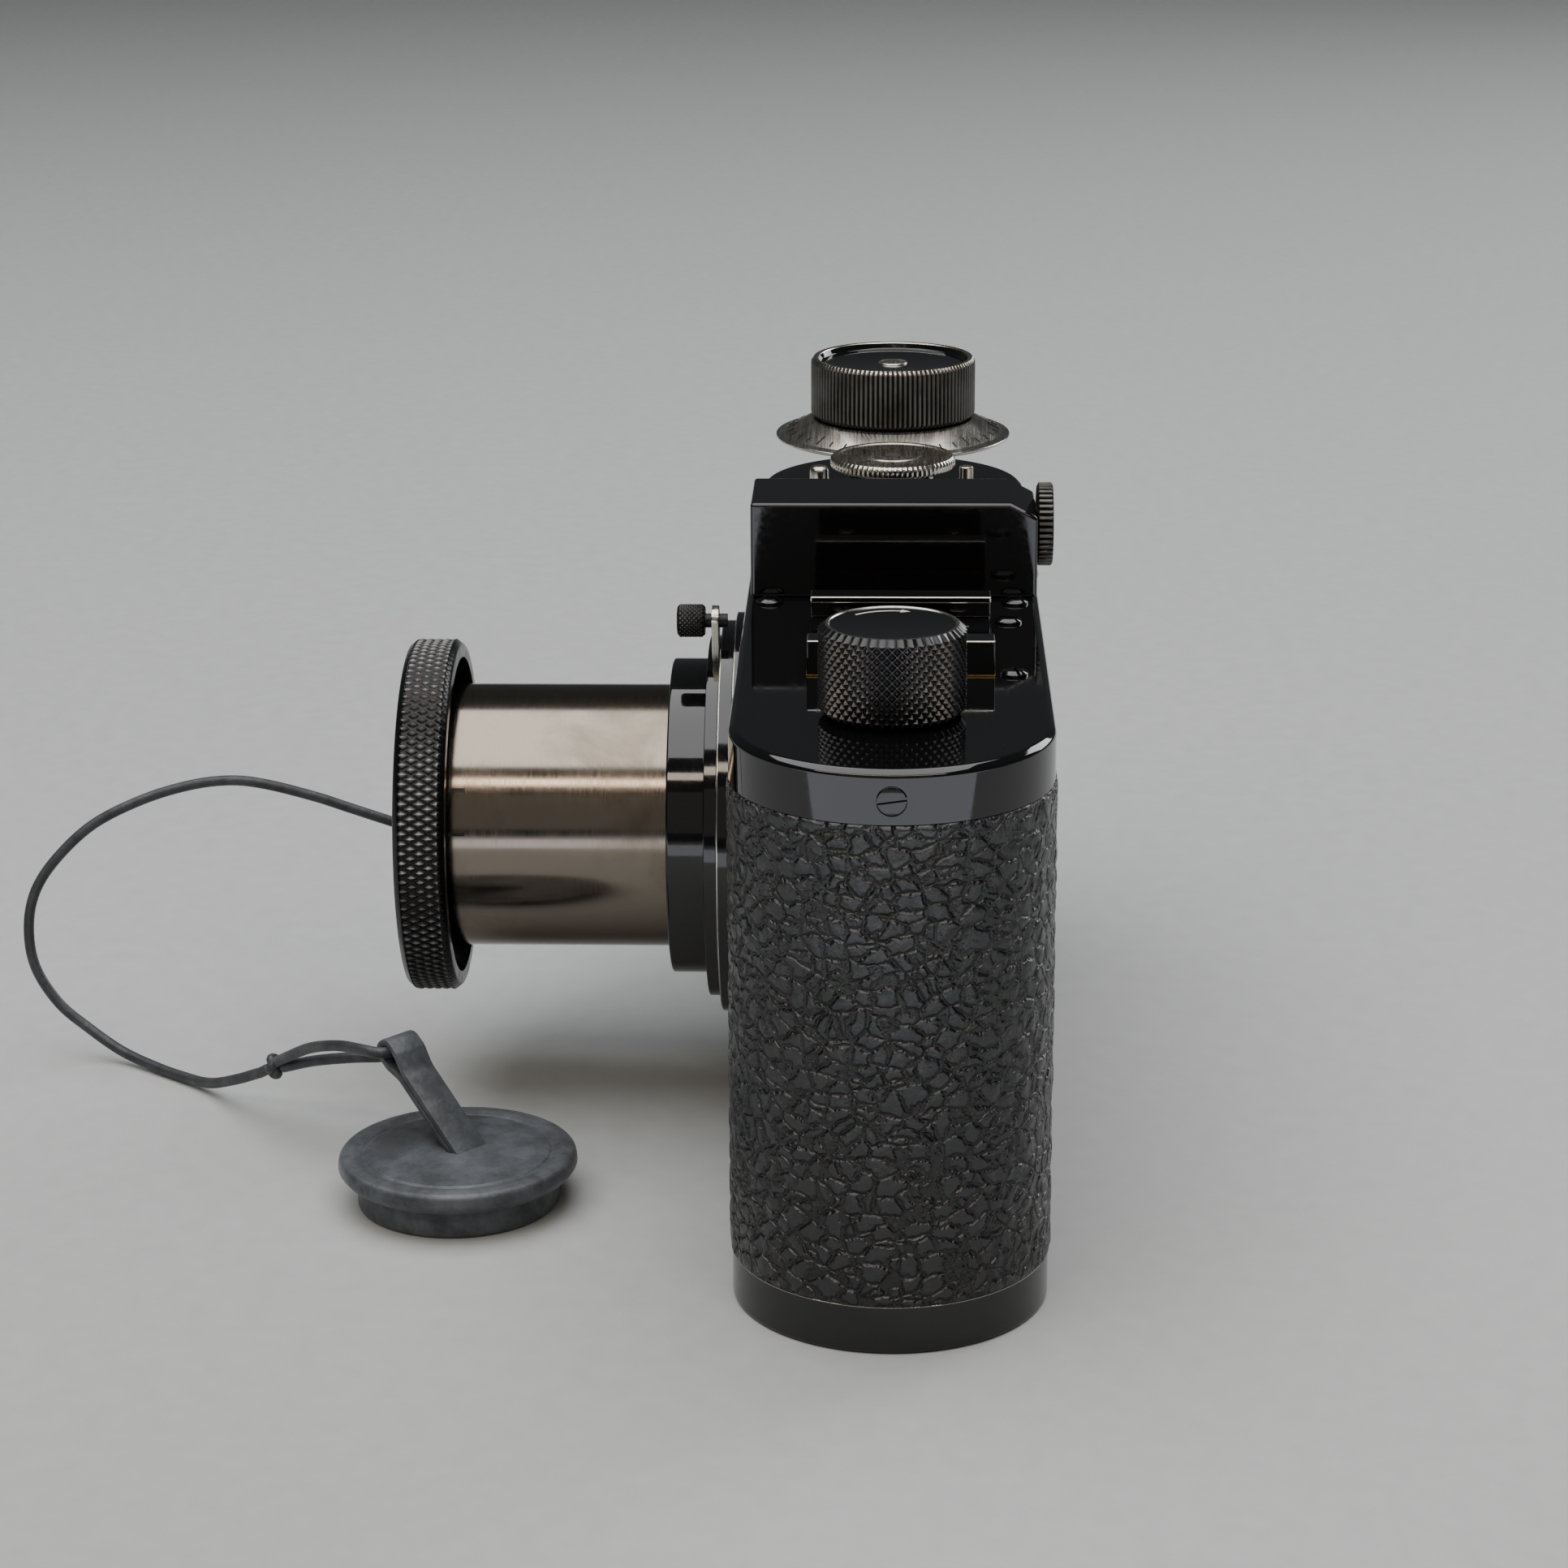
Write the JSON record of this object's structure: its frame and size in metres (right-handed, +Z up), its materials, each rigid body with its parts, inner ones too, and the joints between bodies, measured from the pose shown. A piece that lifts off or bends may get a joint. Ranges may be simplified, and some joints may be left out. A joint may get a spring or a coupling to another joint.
{
  "type": "rangefinder camera",
  "caption": "Black lacquered 35 mm film camera with round ends, direct finder box, collapsible nickel lens tube, knurled knobs and a tethered lens cap.",
  "frame": {"origin": "centre of the camera's flat base, on the surface it stands on", "axes": "+X along the body towards the rewind knob, -Y the way the lens looks, +Z up"},
  "size_m": [0.1336, 0.1158, 0.0734],
  "materials": {
    "black_lacquer": "high-gloss black lacquer, polished edges worn thin",
    "vulcanite": "hard pebbled covering with a satin sheen",
    "worn_nickel": "worn nickel plating, brushed round, warm where thin",
    "nickel": "aged nickel plating",
    "dark_knurl": "black-finished knurled metal with bright crests",
    "frame_metal": "dark satin sheet and castings",
    "brass": "cut brass",
    "glass": "uncoated optical glass",
    "iris_steel": "blackened thin steel",
    "curtain_cloth": "rubberised silk",
    "cassette_enamel": "black enamel",
    "cord_leather": "waxed flat lace",
    "cap_leather": "smooth dyed leather, rubbed at the edge"
  },
  "bodies": {
    "root": {"body_shell": "frame_metal", "grained_covering": "vulcanite", "top_cover": "black_lacquer", "cover_screws": "black_lacquer", "accessory_shoe": "black_lacquer", "shoe_screws": "nickel", "finder_housing": "black_lacquer", "finder_front_glass": "glass", "finder_rear_glass": "glass", "eyepiece_ring": "dark_knurl", "wind_boss": "black_lacquer", "release_collar": "nickel", "dial_index_post": "nickel", "lens_flange": "black_lacquer", "flange_screws": "nickel", "lens_base_ring": "black_lacquer", "infinity_catch": "nickel", "shutter_crate": "frame_metal", "film_gate": "frame_metal", "pressure_plate": "frame_metal", "plate_springs": "nickel", "shutter_curtains": "curtain_cloth", "film_cassette": "cassette_enamel"},
    "winder": {"wind_knob": "dark_knurl", "wind_knob_screw": "nickel", "wind_shaft": "nickel", "wind_gear": "brass", "take_up_spool": "cassette_enamel"},
    "counter": {"counter_disc": "nickel"},
    "sprocket": {"sprocket_drum": "nickel", "sprocket_gear": "brass"},
    "shutter_drum": {"curtain_drum": "frame_metal", "drum_gear": "brass"},
    "shutter_roller": {"curtain_roller": "frame_metal"},
    "dial_carrier": {"dial_hub": "black_lacquer"},
    "dial": {"speed_dial": "nickel"},
    "release": {"release_button": "nickel", "release_spring": "nickel"},
    "reverse_lever": {"reversing_lever": "nickel"},
    "rewinder": {"rewind_knob": "dark_knurl", "rewind_shaft": "nickel", "cassette_spool": "cassette_enamel"},
    "focus_mount": {"focus_ring": "black_lacquer", "focus_lever": "nickel"},
    "focus_lock": {"focus_lock_button": "dark_knurl"},
    "focus_sleeve": {"helicoid_sleeve": "nickel"},
    "barrel": {"lens_tube": "worn_nickel", "lens_head": "black_lacquer", "front_element": "glass", "rear_element": "glass", "iris_leaves": "iris_steel"},
    "aperture": {"aperture_ring": "dark_knurl"},
    "cap": {"cap_cord": "cord_leather", "cord_knot": "cord_leather", "cord_loop": "cord_leather", "cap_strap": "cap_leather", "lens_cap": "cap_leather"},
    "base": {"base_cover": "black_lacquer", "tripod_bush": "nickel"},
    "base_lock": {"base_lock_key": "nickel"}
  },
  "joints": [
    {"name": "wind_turn", "type": "hinge", "parent": "root", "child": "winder", "pos_m": [-0.05, 0, 0.06], "axis": [0, 0, 1], "continuous": true},
    {"name": "counter_turn", "type": "hinge", "parent": "root", "child": "counter", "pos_m": [-0.05, 0, 0.064], "axis": [0, 0, 1], "continuous": true},
    {"name": "sprocket_turn", "type": "hinge", "parent": "root", "child": "sprocket", "pos_m": [-0.0385, 0, 0.03], "axis": [0, 0, 1], "continuous": true},
    {"name": "shutter_turn", "type": "hinge", "parent": "root", "child": "shutter_drum", "pos_m": [-0.027, 0, 0.03], "axis": [0, 0, 1], "continuous": true},
    {"name": "roller_turn", "type": "hinge", "parent": "root", "child": "shutter_roller", "pos_m": [0.0205, 0.002, 0.03], "axis": [0, 0, 1], "continuous": true},
    {"name": "dial_lift", "type": "slide", "parent": "shutter_drum", "child": "dial_carrier", "axis": [0, 0, 1], "range_m": [0, 0.0012]},
    {"name": "dial_turn", "type": "hinge", "parent": "dial_carrier", "child": "dial", "pos_m": [-0.027, 0, 0.065], "axis": [0, 0, 1], "range_deg": [0, 315]},
    {"name": "release_press", "type": "slide", "parent": "root", "child": "release", "axis": [0, 0, -1], "range_m": [0, 0.0015], "stiffness_N_per_m": 300, "springref_m": -0.002, "deforming": ["release_spring"]},
    {"name": "reversing_turn", "type": "hinge", "parent": "root", "child": "reverse_lever", "pos_m": [-0.035, -0.0083, 0.058], "axis": [0, 0, -1], "range_deg": [0, 35]},
    {"name": "rewind_turn", "type": "hinge", "parent": "root", "child": "rewinder", "pos_m": [0.048, 0, 0.06], "axis": [0, 0, 1], "continuous": true},
    {"name": "focus_turn", "type": "hinge", "parent": "root", "child": "focus_mount", "pos_m": [-0.004, -0.02, 0.0312], "axis": [0, -1, 0], "range_deg": [0, 165]},
    {"name": "focus_lock_press", "type": "slide", "parent": "focus_mount", "child": "focus_lock", "axis": [0, 1, 0], "range_m": [0, 0.0006], "stiffness_N_per_m": 300, "springref_m": -0.001},
    {"name": "focus_slide", "type": "slide", "parent": "root", "child": "focus_sleeve", "axis": [0, 1, 0], "range_m": [0, 0.0026]},
    {"name": "tube_slide", "type": "slide", "parent": "focus_sleeve", "child": "barrel", "axis": [0, 1, 0], "range_m": [0, 0.02]},
    {"name": "aperture_turn", "type": "hinge", "parent": "barrel", "child": "aperture", "pos_m": [-0.004, -0.05, 0.0312], "axis": [0, -1, 0], "range_deg": [0, 75]},
    {"name": "cap_stay", "type": "slide", "parent": "barrel", "child": "cap", "axis": [0, -1, 0], "range_m": [0, 0.02]},
    {"name": "base_swing", "type": "hinge", "parent": "root", "child": "base", "pos_m": [-0.0665, 0, 0.005], "axis": [0, 1, 0], "range_deg": [0, 30]},
    {"name": "lock_turn", "type": "hinge", "parent": "base", "child": "base_lock", "pos_m": [0.046, 0, 0.0005], "axis": [0, 0, 1], "range_deg": [0, 180]}
  ],
  "couplings": [
    {"joint": "counter_turn", "follows": "wind_turn", "ratio": 0.025},
    {"joint": "sprocket_turn", "follows": "wind_turn", "ratio": -1},
    {"joint": "shutter_turn", "follows": "wind_turn", "ratio": 1},
    {"joint": "roller_turn", "follows": "wind_turn", "ratio": 1.6667},
    {"joint": "focus_slide", "follows": "focus_turn", "m_per_rad": 0.00090284},
    {"joint": "cap_stay", "follows": "tube_slide", "ratio": 1}
  ]
}
